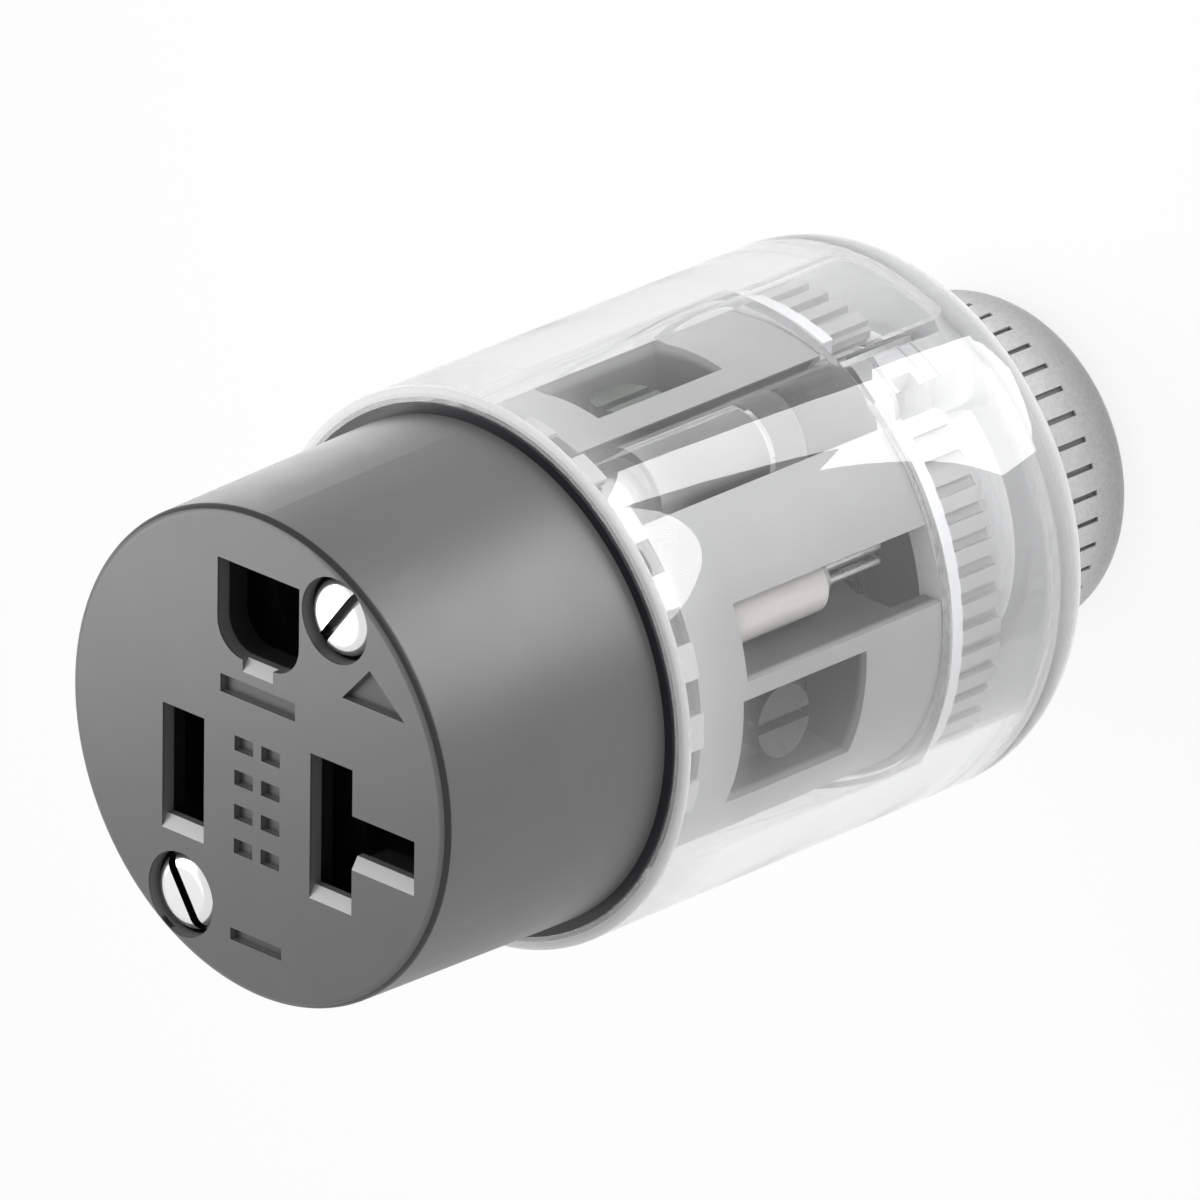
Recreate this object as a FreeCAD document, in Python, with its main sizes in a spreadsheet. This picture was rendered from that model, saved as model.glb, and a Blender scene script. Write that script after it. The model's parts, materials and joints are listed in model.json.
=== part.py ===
import FreeCAD, Part
import os
import re

# Cord connector, female, straight blade, with a clear back body and an indicator lamp.
# It stands on the flat end of its grip nut: z is the connector's axis and the face looks up.
# Seen from the front with the ground hole at the top, +X is up and +Y is left.

doc = FreeCAD.newDocument("CordConnector")

# Driving dimensions in millimetres and degrees.
SIZES = {
    # Stack along the axis, from the floor up
    "nut_head_length": 10.9,
    "nut_gap": 0.3,
    "body_length": 37.9,
    "gasket_proud": 0.2,
    "housing_length": 18.7,
    "seat_gap": 0.2,
    # Front housing
    "housing_face_radius": 16.1,
    "housing_draft": 0.4,
    "housing_edge_round": 0.6,
    "housing_wall": 2.9,
    "face_thickness": 2.6,
    "slot_lip": 1.0,
    "lead_in_drop": 0.8,
    "lead_in_depth": 0.5,
    "pocket_margin": 0.6,
    "spigot_clearance": 0.7,
    "spigot_length": 3.6,
    "spigot_notch_count": 22,
    "spigot_notch_width": 2.2,
    "spigot_notch_depth": 1.7,
    # Assembly screws and what they pass through
    "screw_edge_distance": 3.1,
    "screw_angle": 60.0,
    "screw_radius": 1.65,
    "screw_length": 33.0,
    "screw_head_radius": 2.55,
    "screw_head_height": 2.1,
    "screw_head_round": 0.9,
    "screw_head_recess": 0.25,
    "screw_slot_width": 0.7,
    "upper_slot_turn": 52.0,
    "lower_slot_turn": -57.0,
    "screw_slot_depth": 0.8,
    "screw_clearance": 0.15,
    "counterbore_clearance": 0.25,
    "boss_wall": 1.4,
    "insert_wall": 0.6,
    "insert_length": 10.0,
    "insert_overrun": 0.5,
    "fit_clearance": 0.05,
    # Face pattern: the blade line lies below the axis, the ground hole above it
    "blade_spacing": 12.7,
    "blade_line": 3.0,
    "ground_offset": 11.9,
    "slot_width": 3.6,
    "hot_slot_length": 8.4,
    "neutral_slot_length": 9.7,
    "arm_reach": 5.3,
    "arm_height": 3.6,
    "ground_hole_size": 7.0,
    "ground_hole_round": 2.2,
    # Plain shallow recesses in the face
    "mark_depth": 0.5,
    "mark_bar_length": 6.4,
    "mark_bar_width": 1.2,
    "mark_bar_drop": 1.3,
    "mark_low_bar_length": 4.4,
    "mark_low_bar_width": 0.8,
    "mark_low_bar_drop": 4.6,
    "mark_cell_length": 1.6,
    "mark_cell_width": 1.0,
    "mark_cell_rows": 4,
    "mark_cell_pitch": 2.3,
    "mark_column_offset": 1.15,
    "mark_wedge_base": 5.3,
    "mark_wedge_height": 2.5,
    "mark_wedge_apex": 2.3,
    "mark_wedge_left": 7.2,
    "mark_wedge_line": 6.4,
    # Gasket
    "gasket_margin": 0.65,
    "gasket_seat_depth": 0.7,
    # Clear back body
    "body_proud": 1.65,
    "body_wall": 2.1,
    "shoulder_radius": 4.1,
    "lip_round": 0.4,
    "step_depth": 0.5,
    "step_gap": 0.7,
    "collar_wall": 1.6,
    "collar_length": 8.0,
    "pillar_wall": 0.7,
    # Ribbed cap behind the terminals
    "cap_length": 4.4,
    "cap_floor": 1.5,
    "cap_rim": 2.4,
    "cap_clearance": 0.15,
    "cap_flange": 0.9,
    "cap_rib_count": 60,
    "cap_rib_gap": 0.7,
    "cap_rib_depth": 0.4,
    "wire_bore_radius": 5.2,
    # Contact carrier
    "carrier_clearance": 1.1,
    "nose_clearance": 0.2,
    "nose_wall": 0.6,
    "nose_gap": 2.5,
    "passage_clearance": 0.2,
    "recess_rim": 1.4,
    "recess_depth": 3.0,
    "bay_width": 7.0,
    "ground_bay_width": 5.8,
    "channel_clearance": 0.1,
    # Contacts, clamp plates and terminal screws
    "sheet_thickness": 0.8,
    "contact_width": 6.0,
    "contact_depth": 8.0,
    "contact_base_rise": 1.8,
    "blade_gap": 2.0,
    "pin_gap_radius": 2.5,
    "ground_tab_width": 5.0,
    "tab_gap": 1.05,
    "ground_tab_shift": 0.7,
    "tab_stub": 2.0,
    "clamp_gap": 0.2,
    "clamp_thickness": 1.0,
    "clamp_length": 7.0,
    "clamp_margin": 2.0,
    "terminal_screw_radius": 1.5,
    "terminal_head_radius": 2.3,
    "terminal_head_height": 2.0,
    "terminal_screw_reach": 3.2,
    # Indicator lamp and its circuit
    "lamp_radius": 1.9,
    "lamp_length": 9.0,
    "lamp_foot": 1.2,
    "lamp_foot_radius": 0.95,
    "lamp_up": 3.9,
    "lamp_depth": 4.0,
    "lamp_clearance": 0.4,
    "lamp_rise": 4.9,
    "lead_radius": 0.35,
    "lead_spacing": 1.0,
    "lead_end": 1.0,
    "resistor_radius": 1.2,
    "resistor_length": 7.0,
    "resistor_start": 4.0,
    # Cord grip
    "thread_radius": 9.4,
    "thread_length": 3.95,
    "slip_ring_thickness": 1.0,
    "thrust_gap": 0.05,
    "grip_gap": 0.1,
    "collet_wall": 1.5,
    "collet_window_count": 12,
    "collet_window_width": 2.4,
    "collet_window_margin": 0.7,
    "cord_bore_radius": 4.6,
    # Grip nut
    "nut_radius": 11.2,
    "nut_round": 3.6,
    "nut_bore_radius": 5.4,
    "nut_mouth": 0.5,
    "nut_rib_count": 40,
    "nut_rib_gap": 0.35,
    "nut_rib_depth": 0.3,
    "nut_rib_length": 6.3,
}

sheet = doc.addObject("Spreadsheet::Sheet", "Sizes")
for row, (alias, value) in enumerate(SIZES.items(), start=1):
    sheet.set(f"A{row}", alias)
    sheet.set(f"B{row}", str(value))
    sheet.setAlias(f"B{row}", alias)
doc.recompute()

# Levels, places and radii worked out from the driving dimensions.
DERIVED = {
    # Levels along the axis
    "body_rear": "nut_head_length + nut_gap",
    "body_front": "body_rear + body_length",
    "housing_rear": "body_front + gasket_proud",
    "face": "housing_rear + housing_length",
    "face_back": "face - face_thickness",
    "spigot_end": "housing_rear - spigot_length",
    "body_floor": "body_rear + body_wall",
    "collar_top": "body_rear + collar_length",
    "cap_rear": "collar_top + seat_gap",
    "cap_front": "cap_rear + cap_length",
    "step": "cap_front + step_gap",
    "drum_rear": "cap_front + seat_gap",
    "drum_front": "spigot_end - seat_gap",
    "nose_front": "face_back - nose_gap",
    "terminal": "(drum_rear + recess_depth + drum_front) / 2",
    "bay_bottom": "terminal - clamp_length / 2 - clamp_margin",
    "bay_top": "terminal + clamp_length / 2 + clamp_margin",
    "contact_top": "face - contact_depth",
    "contact_base": "drum_front + contact_base_rise",
    "tab_end": "drum_rear + tab_stub",
    "lead_level": "tab_end - lead_radius",
    "lamp_base": "drum_rear + recess_depth + lamp_rise - lamp_foot",
    "screw_top": "face - screw_head_recess",
    "screw_seat": "screw_top - screw_head_height",
    "screw_tip": "screw_seat - screw_length",
    "insert_rear": "screw_tip + insert_overrun",
    "pillar_top": "insert_rear + insert_length",
    "thread_top": "nut_head_length + thread_length",
    "slip_rear": "thread_top + thrust_gap",
    "slip_front": "slip_rear + slip_ring_thickness",
    "collet_rear": "slip_front + grip_gap",
    # Places across the axis
    "slot_side": "blade_spacing / 2",
    "blade_x": "-blade_line",
    "ground_x": "ground_offset - blade_line",
    "screw_circle_radius": "housing_face_radius - screw_edge_distance",
    "screw_x": "screw_circle_radius * sin(screw_angle)",
    "screw_y": "screw_circle_radius * cos(screw_angle)",
    "leaf_side": "blade_gap / 2 + sheet_thickness",
    "tab_offset": "slot_side + leaf_side + tab_gap",
    "ground_tab_offset": "ground_x + ground_tab_shift",
    "clamp_offset": "sheet_thickness + clamp_gap",
    "head_offset": "clamp_offset + clamp_thickness",
    "lamp_right": "carrier_radius - lamp_depth",
    # Radii
    "housing_rear_radius": "housing_face_radius + housing_draft",
    "socket_radius": "pin_gap_radius + sheet_thickness + channel_clearance",
    "nose_reach": "ground_x + socket_radius + nose_wall + nose_clearance",
    "housing_bore_radius": "max(housing_face_radius - housing_wall; nose_reach)",
    "gasket_outer_radius": "housing_rear_radius + gasket_margin",
    "body_radius": "housing_rear_radius + body_proud",
    "bore_radius": "body_radius - body_wall",
    "step_radius": "bore_radius - step_depth",
    "spigot_radius": "bore_radius - spigot_clearance",
    "carrier_radius": "bore_radius - carrier_clearance",
    "nose_radius": "housing_bore_radius - nose_clearance",
    "cap_radius": "step_radius - cap_clearance",
    "collar_bore": "thread_radius + fit_clearance",
    "boss_radius": "screw_radius + screw_clearance + boss_wall",
    "insert_radius": "screw_radius + fit_clearance + insert_wall",
    "pillar_radius": "insert_radius + pillar_wall",
    "passage_radius": "max(boss_radius; pillar_radius) + passage_clearance",
    "collet_radius": "collar_bore - 2 * fit_clearance",
    "grommet_radius": "collet_radius - collet_wall - fit_clearance",
}
SCREW_PLACES = [("screw_x", "-screw_y"), ("-screw_x", "screw_y")]
SCREW_SLOT_TURNS = ["upper_slot_turn", "lower_slot_turn"]

UP = FreeCAD.Rotation()
TO_PLUS_X = FreeCAD.Rotation(FreeCAD.Vector(0, 1, 0), 90)
TO_PLUS_Y = FreeCAD.Rotation(FreeCAD.Vector(1, 0, 0), -90)
TO_MINUS_Y = FreeCAD.Rotation(FreeCAD.Vector(1, 0, 0), 90)

# How close two lengths are that count as equal, in millimetres.
TOLERANCE = 1e-4

nodes = []


def formula(text):
    """Point each name in a formula at its cell of the sheet, by way of the derived ones."""
    def cell(word):
        name = word[0]
        if name in DERIVED:
            return f"({formula(DERIVED[name])})"
        return f"Sizes.{name}" if name in SIZES else name

    return re.sub(r"[a-z_]+", cell, text)


def size(text):
    """The value of a formula, for what takes a plain number."""
    return float(sheet.evalExpression(formula(text)))


def bind(item, **properties):
    for prop, text in properties.items():
        item.setExpression(prop.replace("__", "."), formula(text))
    return item


def place(item, x, y, z, turn=UP):
    item.Placement = FreeCAD.Placement(FreeCAD.Vector(), turn)
    return bind(item, Placement__Base__x=x, Placement__Base__y=y, Placement__Base__z=z)


def cylinder(name, radius, height, x="0", y="0", z="0", turn=UP):
    item = bind(doc.addObject("Part::Cylinder", name), Radius=radius, Height=height)
    return place(item, x, y, z, turn)


def cone(name, low_radius, high_radius, height, x="0", y="0", z="0"):
    item = doc.addObject("Part::Cone", name)
    bind(item, Radius1=low_radius, Radius2=high_radius, Height=height)
    return place(item, x, y, z)


def sphere(name, radius, x, y, z):
    return place(bind(doc.addObject("Part::Sphere", name), Radius=radius), x, y, z)


def box(name, x_span, y_span, z_span):
    """A box between the low and high formulas of each span."""
    item = doc.addObject("Part::Box", name)
    spans = (x_span, y_span, z_span)
    length, width, height = (f"({high}) - ({low})" for low, high in spans)
    bind(item, Length=length, Width=width, Height=height)
    return place(item, *(low for low, high in spans))


def around(middle, width):
    return f"{middle} - ({width}) / 2", f"{middle} + ({width}) / 2"


def fuse(name, *items):
    item = doc.addObject("Part::MultiFuse", name)
    item.Shapes = list(items)
    return item


def cut(name, base, *tools):
    item = doc.addObject("Part::Cut", name)
    item.Base = base
    item.Tool = tools[0] if len(tools) == 1 else fuse(f"{name}_tools", *tools)
    return item


def common(name, base, tool):
    item = doc.addObject("Part::Common", name)
    item.Base = base
    item.Tool = tool
    return item


def rounded(name, base, radius, picked):
    """Round those edges of a shape that a test on the edge picks."""
    doc.recompute()
    item = doc.addObject("Part::Fillet", name)
    item.Base = base
    edges = enumerate(base.Shape.Edges, start=1)
    item.Edges = [(number, radius, radius) for number, edge in edges if picked(edge)]
    return item


def level_with(edge, level):
    return edge.BoundBox.ZLength < TOLERANCE and abs(edge.BoundBox.ZMin - size(level)) < TOLERANCE


def circle_at(level, radius):
    """A test for whole circles of a radius round the axis at a height."""
    def test(edge):
        reach = (edge.BoundBox.XMax, -edge.BoundBox.XMin)
        return level_with(edge, level) and all(abs(end - size(radius)) < TOLERANCE for end in reach)
    return test


def node(item, label):
    item.Label = label
    nodes.append(item)
    return item


def front_housing():
    radii = ("housing_rear_radius", "housing_face_radius")
    shell = cone("HousingShell", *radii, "housing_length", z="housing_rear")
    rim = circle_at("face", "housing_face_radius")
    shell = rounded("HousingEdge", shell, size("housing_edge_round"), rim)
    spigot = cylinder("HousingSpigot", "spigot_radius", "spigot_length", z="spigot_end")
    outside = fuse("HousingOutside", shell, spigot)
    hollow = cylinder("HousingHollow", "housing_bore_radius", "face_back - spigot_end", z="spigot_end")
    walls = cut("HousingWalls", outside, hollow)
    bosses = [
        common(
            f"HousingBoss{index}Trimmed",
            cylinder(f"HousingBoss{index}", "boss_radius", "face_back - spigot_end", x, y, "spigot_end"),
            outside,
        )
        for index, (x, y) in enumerate(SCREW_PLACES)
    ]
    solid = fuse("HousingSolid", walls, *bosses)
    room = ("socket_radius + nose_clearance", "face_back - spigot_end", "ground_x", "0", "spigot_end")
    socket_room = cylinder("SocketRoom", *room)
    cuts = [socket_room, *slot_cuts(), *screw_cuts(), *mark_cuts(), *notch_cuts()]
    return cut("FrontHousing", solid, *cuts)


def notch_cuts():
    """Notches round the spigot's rear rim, as radial bars turned about the axis."""
    level = ("spigot_end - spigot_notch_depth", "spigot_end + spigot_notch_depth")
    reach = ("housing_bore_radius - nose_clearance", "spigot_radius + spigot_clearance")
    count = int(size("spigot_notch_count"))
    cuts = []
    for index in range(count):
        bar = box(f"SpigotNotch{index}", reach, around("0", "spigot_notch_width"), level)
        turned = doc.addObject("Part::Compound", f"SpigotNotch{index}Turned")
        turned.Links = [bar]
        turned.Placement.Rotation = FreeCAD.Rotation(FreeCAD.Vector(0, 0, 1), 360 * index / count)
        cuts.append(turned)
    return cuts


def slot_cuts():
    """Openings for the blades and the ground pin, each with a sloped lead-in at its lower end.

    Behind the face, the blades' openings widen to a pocket.
    """
    through = ("nose_front", "face + slot_lip")
    pocket = ("nose_front", "face - slot_lip")
    margin = "2 * pocket_margin"
    cuts = []
    slots = (("Hot", "slot_side", "hot_slot_length"), ("Neutral", "-slot_side", "neutral_slot_length"))
    for name, side, length in slots:
        low, high = around("blade_x", length)
        across = around(side, "slot_width")
        cuts.append(box(f"{name}Slot", (f"{low} + lead_in_drop", high), across, through))
        cuts.append(lead_in(f"{name}LeadIn", low, across))
        wide = around("blade_x", f"{length} + {margin}")
        cuts.append(box(f"{name}Pocket", wide, around(side, f"slot_width + {margin}"), pocket))
    low, high = around("blade_x", "arm_height")
    arm = ("-slot_side - slot_width / 2 - arm_reach", "-slot_side")
    cuts.append(box("NeutralArm", (f"{low} + lead_in_drop", high), arm, through))
    cuts.append(lead_in("ArmLeadIn", low, arm))
    low, high = around("ground_x", "ground_hole_size")
    hole_low = f"{low} + lead_in_drop"
    hole = box("GroundBlank", (hole_low, high), around("0", "ground_hole_size"), through)
    lower = size(hole_low)

    def lower_upright(edge):
        limits = edge.BoundBox
        return limits.YLength < TOLERANCE < limits.ZLength and abs(limits.XMax - lower) < TOLERANCE

    cuts.append(rounded("GroundHole", hole, size("ground_hole_round"), lower_upright))
    cuts.append(lead_in("GroundLeadIn", low, around("0", "ground_hole_size - 2 * ground_hole_round")))
    return cuts


def lead_in(name, low, across):
    """A slope that rises by its drop from the low end of a slot as it goes its depth into the face."""
    right, left = across
    wedge = doc.addObject("Part::Wedge", name)
    bind(wedge, Xmin="lead_in_drop", Xmax="2 * lead_in_drop")
    bind(wedge, X2min="-lead_in_drop", X2max="2 * lead_in_drop")
    bind(wedge, Ymin="0", Ymax="2 * lead_in_depth")
    length = f"({left}) - ({right})"
    bind(wedge, Zmin="0", Zmax=length, Z2min="0", Z2max=length)
    return place(wedge, low, left, "face - lead_in_depth", TO_MINUS_Y)


def screw_cuts():
    cuts = []
    for index, (x, y) in enumerate(SCREW_PLACES):
        hole = ("screw_radius + screw_clearance", "face - spigot_end")
        cuts.append(cylinder(f"ScrewHole{index}", *hole, x, y, "spigot_end"))
        counterbore = ("screw_head_radius + counterbore_clearance", "face - screw_seat")
        cuts.append(cylinder(f"Counterbore{index}", *counterbore, x, y, "screw_seat"))
    return cuts


def mark_cuts():
    """Plain recesses: a bar, two columns of small cells, a low bar and a wedge."""
    depth = ("face - mark_depth", "face + mark_depth")
    bar_x = "ground_x - ground_hole_size / 2 - mark_bar_drop"
    cuts = [box("MarkBar", around(bar_x, "mark_bar_width"), around("0", "mark_bar_length"), depth)]
    for row in range(int(size("mark_cell_rows"))):
        x = f"blade_x + ((mark_cell_rows - 1) / 2 - {row}) * mark_cell_pitch"
        for column, side in enumerate(("mark_column_offset", "-mark_column_offset")):
            cell = (around(x, "mark_cell_width"), around(side, "mark_cell_length"))
            cuts.append(box(f"MarkCell{row}{column}", *cell, depth))
    low_x = "blade_x - neutral_slot_length / 2 - mark_low_bar_drop"
    low_bar = (around(low_x, "mark_low_bar_width"), around("0", "mark_low_bar_length"))
    cuts.append(box("MarkLowBar", *low_bar, depth))
    wedge = doc.addObject("Part::Wedge", "MarkWedge")
    bind(wedge, Xmin="0", Xmax="mark_wedge_base", X2min="mark_wedge_apex", X2max="mark_wedge_apex")
    bind(wedge, Ymin="0", Ymax="mark_wedge_height")
    bind(wedge, Zmin="0", Zmax="2 * mark_depth", Z2min="0", Z2max="2 * mark_depth")
    turn = FreeCAD.Rotation(FreeCAD.Vector(0, 0, 1), -90)
    cuts.append(place(wedge, "mark_wedge_line", "-mark_wedge_left", "face - mark_depth", turn))
    return cuts


def body_gasket():
    length = "gasket_proud + gasket_seat_depth"
    level = "body_front - gasket_seat_depth"
    ring = cylinder("GasketRing", "gasket_outer_radius", length, z=level)
    return cut("BodyGasket", ring, cylinder("GasketHole", "spigot_radius + fit_clearance", length, z=level))


def back_body():
    blank = cylinder("BodyBlank", "body_radius", "body_length", z="body_rear")
    lip = rounded("BodyLip", blank, size("lip_round"), circle_at("body_front", "body_radius"))
    shoulder = circle_at("body_rear", "body_radius")
    outside = rounded("BodyOutside", lip, size("shoulder_radius"), shoulder)
    low_blank = cylinder("BodyLowBlank", "step_radius", "step - body_floor", z="body_floor")
    corner = circle_at("body_floor", "step_radius")
    low_bore = rounded("BodyLowBore", low_blank, size("shoulder_radius - body_wall"), corner)
    bore = cylinder("BodyBore", "bore_radius", "body_front - step", z="step")
    seat_radius = "gasket_outer_radius + fit_clearance"
    seat_length = "gasket_seat_depth + gasket_proud"
    seat = cylinder("GasketSeat", seat_radius, seat_length, z="body_front - gasket_seat_depth")
    collar = cylinder("BodyCollar", "collar_bore + collar_wall", "collar_length", z="body_rear")
    pillars = []
    holes = [cylinder("CollarBore", "collar_bore", "collar_length + 2 * nut_gap", z="body_rear - nut_gap")]
    for index, (x, y) in enumerate(SCREW_PLACES):
        pillar_length = "pillar_top - body_rear"
        pillars.append(cylinder(f"Pillar{index}", "pillar_radius", pillar_length, x, y, "body_rear"))
        insert_hole = ("insert_radius + fit_clearance", "insert_length + seat_gap")
        holes.append(cylinder(f"InsertHole{index}", *insert_hole, x, y, "insert_rear"))
        tip_hole = ("screw_radius + screw_clearance", "pillar_top - screw_tip + seat_gap")
        holes.append(cylinder(f"ScrewTipHole{index}", *tip_hole, x, y, "screw_tip - seat_gap"))
    cavity = cut("BodyCavity", fuse("BodyHollow", low_bore, bore), collar, *pillars)
    return cut("BackBody", outside, cavity, seat, *holes)


def contact_carrier():
    drum = cylinder("CarrierDrum", "carrier_radius", "drum_front - drum_rear", z="drum_rear")
    nose = cylinder("CarrierNose", "nose_radius", "nose_front - drum_front", z="drum_front")
    solid = fuse("CarrierSolid", drum, nose)
    whole = ("drum_rear", "nose_front")
    length = "nose_front - drum_rear"
    cuts = [cylinder("CarrierRecess", "carrier_radius - recess_rim", "recess_depth", z="drum_rear")]
    for index, (x, y) in enumerate(SCREW_PLACES):
        cuts.append(cylinder(f"CarrierPassage{index}", "passage_radius", length, x, y, "drum_rear"))
    bay = ("bay_bottom", "bay_top")
    width = "contact_width + 2 * channel_clearance"
    tab = "tab_offset + sheet_thickness + channel_clearance"
    near = "tab_offset - channel_clearance"
    far = "carrier_radius"
    leaf = "slot_side - leaf_side - channel_clearance"
    base_level = "contact_base - channel_clearance"
    for name, sign in (("Hot", ""), ("Neutral", "-")):
        spans = [(near, tab), (leaf, tab), (near, far)]
        if sign:
            spans = [(f"-({high})", f"-({low})") for low, high in spans]
        cuts.append(box(f"{name}TabChannel", around("blade_x", width), spans[0], whole))
        cuts.append(box(f"{name}LeafChannel", around("blade_x", width), spans[1], (base_level, "nose_front")))
        cuts.append(box(f"{name}Bay", around("blade_x", "bay_width"), spans[2], bay))
        turn = TO_MINUS_Y if sign else TO_PLUS_Y
        start = "tab_offset + sheet_thickness - terminal_screw_reach - seat_gap"
        relief = ("terminal_screw_radius + screw_clearance", "terminal_screw_reach")
        cuts.append(cylinder(f"{name}Relief", *relief, "blade_x", f"{sign}({start})", "terminal", turn))
    arm_far = "-nose_radius"
    arm = around("blade_x", "arm_height + 2 * channel_clearance")
    cuts.append(box("ArmChannel", arm, (arm_far, "-slot_side"), (base_level, "nose_front")))
    ground_tab = "ground_tab_offset + sheet_thickness + channel_clearance"
    ground_near = "ground_tab_offset - channel_clearance"
    ground_width = "ground_tab_width + 2 * channel_clearance"
    cuts.append(box("GroundTabChannel", (ground_near, ground_tab), around("0", ground_width), whole))
    cuts.append(box("GroundBay", (ground_near, far), around("0", "ground_bay_width"), bay))
    socket = ("socket_radius", f"nose_front - ({base_level})")
    cuts.append(cylinder("GroundSocketHole", *socket, "ground_x", "0", base_level))
    start = "ground_tab_offset + sheet_thickness - terminal_screw_reach - seat_gap"
    relief = ("terminal_screw_radius + screw_clearance", "terminal_screw_reach")
    cuts.append(cylinder("GroundRelief", *relief, start, "0", "terminal", TO_PLUS_X))
    trough = "lamp_radius + lamp_clearance"
    trough_length = "lamp_base + lamp_foot + lamp_length + lamp_clearance - drum_rear"
    cuts.append(cylinder("LampTrough", trough, trough_length, "lamp_up", "-lamp_right", "drum_rear"))
    trough_level = ("drum_rear", f"drum_rear + {trough_length}")
    trough_mouth = (f"-{far}", "-lamp_right")
    cuts.append(box("LampMouth", around("lamp_up", f"2 * ({trough})"), trough_mouth, trough_level))
    return cut("ContactCarrier", solid, *cuts)


def blade_contact(name, sign):
    """Two leaves on a base, with a tab that runs back to the terminal."""
    def side(low, high):
        return (f"-({high})", f"-({low})") if sign else (low, high)

    wide = around("blade_x", "contact_width")
    outer = "tab_offset + sheet_thickness"
    inner_leaf = "slot_side - leaf_side"
    outer_leaf = "slot_side + blade_gap / 2"
    leaf_level = ("contact_base", "contact_top")
    pieces = [
        box(f"{name}InnerLeaf", wide, side(inner_leaf, f"{inner_leaf} + sheet_thickness"), leaf_level),
        box(f"{name}OuterLeaf", wide, side(outer_leaf, f"{outer_leaf} + sheet_thickness"), leaf_level),
        box(f"{name}Base", wide, side(inner_leaf, outer), ("contact_base", "contact_base + sheet_thickness")),
        box(f"{name}Tab", wide, side("tab_offset", outer), ("tab_end", "contact_base + sheet_thickness")),
    ]
    turn = TO_MINUS_Y if sign else TO_PLUS_Y
    radius = "terminal_screw_radius + fit_clearance"
    spot = ("blade_x", f"{sign}tab_offset", "terminal", turn)
    hole = cylinder(f"{name}TabHole", radius, "sheet_thickness", *spot)
    return cut(f"{name}Contact", fuse(f"{name}ContactSolid", *pieces), hole)


def ground_contact():
    """A split tube for the ground pin on a base, with a tab that runs back to the terminal."""
    tube_length = "contact_top - contact_base"
    tube_radius = "pin_gap_radius + sheet_thickness"
    tube = cylinder("GroundTube", tube_radius, tube_length, "ground_x", "0", "contact_base")
    wide = around("0", "ground_tab_width")
    outer = "ground_tab_offset + sheet_thickness"
    tab = box("GroundTab", ("ground_tab_offset", outer), wide, ("tab_end", "contact_base + sheet_thickness"))
    pin_level = "contact_base + sheet_thickness"
    pin = cylinder("GroundPinHole", "pin_gap_radius", tube_length, "ground_x", "0", pin_level)
    reach = "pin_gap_radius + 2 * sheet_thickness"
    split_x = (f"ground_x - ({reach})", "ground_x")
    split_z = (f"{pin_level} + sheet_thickness", "face")
    split = box("GroundSplit", split_x, around("0", "sheet_thickness"), split_z)
    radius = "terminal_screw_radius + fit_clearance"
    spot = ("ground_tab_offset", "0", "terminal", TO_PLUS_X)
    hole = cylinder("GroundTabHole", radius, "sheet_thickness", *spot)
    return cut("GroundContact", fuse("GroundContactSolid", tube, tab), pin, split, hole)


def terminal_places():
    """For each terminal: its tab's outer face, its width and the way its screw points."""
    return {
        "Hot": ("tab_offset", "contact_width", "y", "", TO_PLUS_Y),
        "Neutral": ("tab_offset", "contact_width", "y", "-", TO_MINUS_Y),
        "Ground": ("ground_tab_offset", "ground_tab_width", "x", "", TO_PLUS_X),
    }


def clamp_plate(name, offset, width, axis, sign):
    low, high = f"{offset} + clamp_offset", f"{offset} + head_offset"
    depth = (f"-({high})", f"-({low})") if sign else (low, high)
    level = around("terminal", "clamp_length")
    radius = "terminal_screw_radius + screw_clearance"
    start = f"{sign}({low})"
    if axis == "y":
        plate = box(f"{name}Plate", around("blade_x", width), depth, level)
        turn = TO_MINUS_Y if sign else TO_PLUS_Y
        hole = cylinder(f"{name}PlateHole", radius, "clamp_thickness", "blade_x", start, "terminal", turn)
    else:
        plate = box(f"{name}Plate", depth, around("0", width), level)
        hole = cylinder(f"{name}PlateHole", radius, "clamp_thickness", start, "0", "terminal", TO_PLUS_X)
    return cut(f"{name}ClampPlate", plate, hole)


def terminal_screw(name, offset, axis, sign, turn):
    head_at = f"{sign}({offset} + head_offset)"
    shank_length = "terminal_screw_reach + head_offset - sheet_thickness"
    shank_at = f"{sign}({offset} + sheet_thickness - terminal_screw_reach)"
    slot_at = f"{offset} + head_offset + terminal_head_height - screw_slot_depth"
    slot_end = f"{offset} + head_offset + terminal_head_height + screw_slot_depth"
    depth = (f"-({slot_end})", f"-({slot_at})") if sign else (slot_at, slot_end)
    across = around("terminal", "2 * terminal_head_radius + 2 * screw_slot_depth")
    if axis == "y":
        head_place = ("blade_x", head_at, "terminal", turn)
        shank_place = ("blade_x", shank_at, "terminal", turn)
        slot = box(f"{name}ScrewSlot", around("blade_x", "screw_slot_width"), depth, across)
    else:
        head_place = (head_at, "0", "terminal", turn)
        shank_place = (shank_at, "0", "terminal", turn)
        slot = box(f"{name}ScrewSlot", depth, around("0", "screw_slot_width"), across)
    head = cylinder(f"{name}ScrewHead", "terminal_head_radius", "terminal_head_height", *head_place)
    shank = cylinder(f"{name}ScrewShank", "terminal_screw_radius", shank_length, *shank_place)
    return cut(f"{name}TerminalScrew", fuse(f"{name}ScrewSolid", head, shank), slot)


def indicator_lamp():
    place_xy = ("lamp_up", "-lamp_right")
    straight = "lamp_length - lamp_radius"
    foot = cone("LampFoot", "lamp_foot_radius", "lamp_radius", "lamp_foot", *place_xy, "lamp_base")
    tube = cylinder("LampTube", "lamp_radius", straight, *place_xy, "lamp_base + lamp_foot")
    dome = sphere("LampDome", "lamp_radius", *place_xy, f"lamp_base + lamp_foot + {straight}")
    return fuse("IndicatorLamp", foot, tube, dome)


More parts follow.
